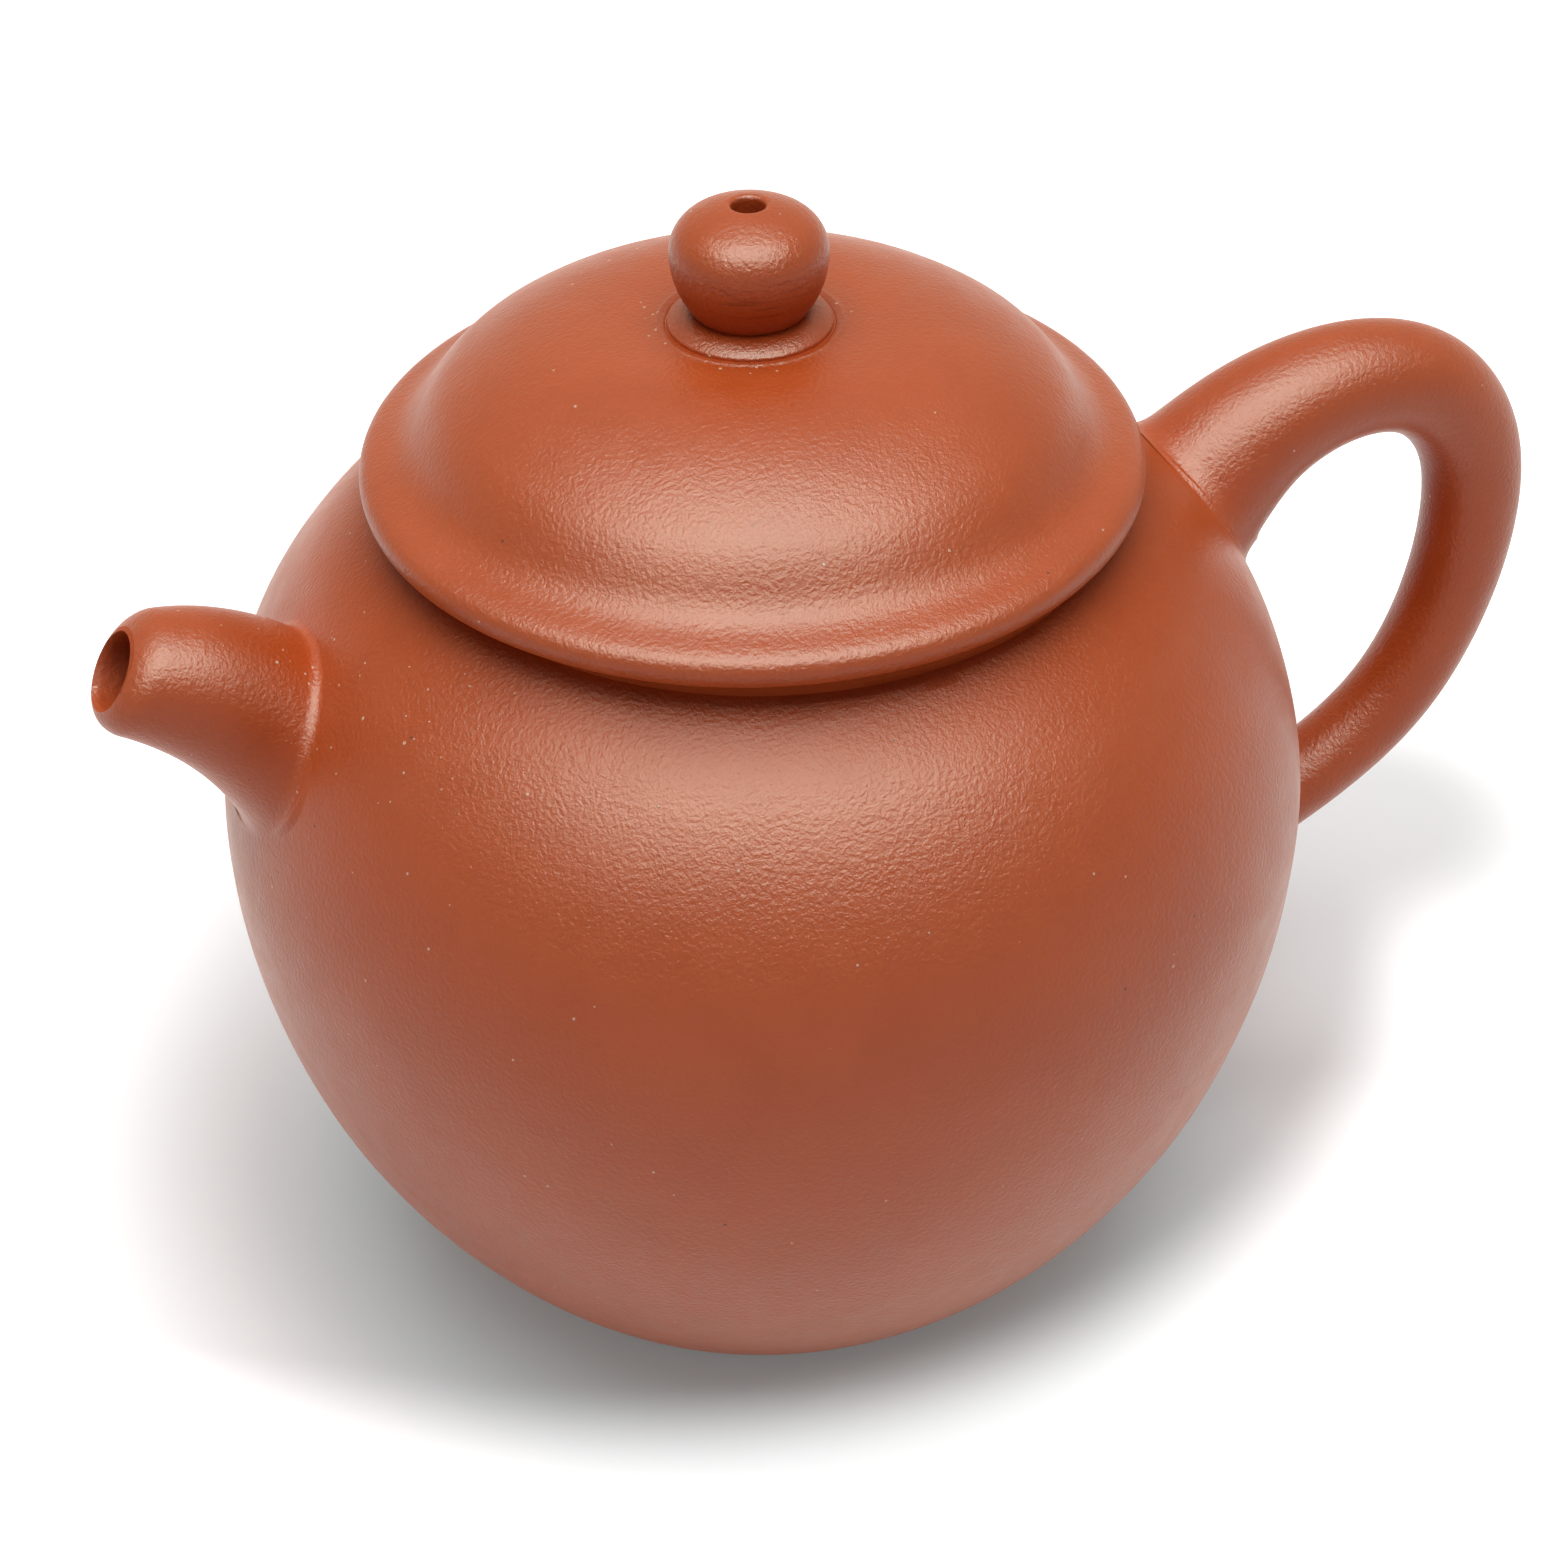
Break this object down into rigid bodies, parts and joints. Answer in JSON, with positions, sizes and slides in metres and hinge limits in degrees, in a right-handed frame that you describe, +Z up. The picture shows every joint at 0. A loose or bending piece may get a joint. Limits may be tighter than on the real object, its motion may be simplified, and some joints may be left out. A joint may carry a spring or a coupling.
{
  "type": "clay teapot",
  "caption": "Small round teapot of unglazed red clay with a short upturned spout, an ear handle and a domed lid with a flared rim and a pearl knob that lifts off.",
  "frame": {"origin": "centre of the foot ring, on the plane that the pot stands on", "axes": "+Z up along the axis of the pot and the lid, +X towards the handle, -X towards the spout"},
  "size_m": [0.1123, 0.0804, 0.0868],
  "materials": {
    "red_clay": "unglazed fired red clay, burnished to a soft satin"
  },
  "bodies": {
    "pot": {"base_disc": "red_clay", "body_wall": "red_clay", "shoulder_disc": "red_clay", "neck_ring": "red_clay", "spout": "red_clay", "strainer": "red_clay", "handle": "red_clay"},
    "lid": {"lid_dome": "red_clay", "lid_rim": "red_clay", "lid_flange": "red_clay", "knob_collar": "red_clay", "knob": "red_clay"}
  },
  "joints": [
    {"name": "lid_lift", "type": "slide", "parent": "pot", "child": "lid", "axis": [0, 0, 1], "range_m": [0, 0.05]}
  ]
}
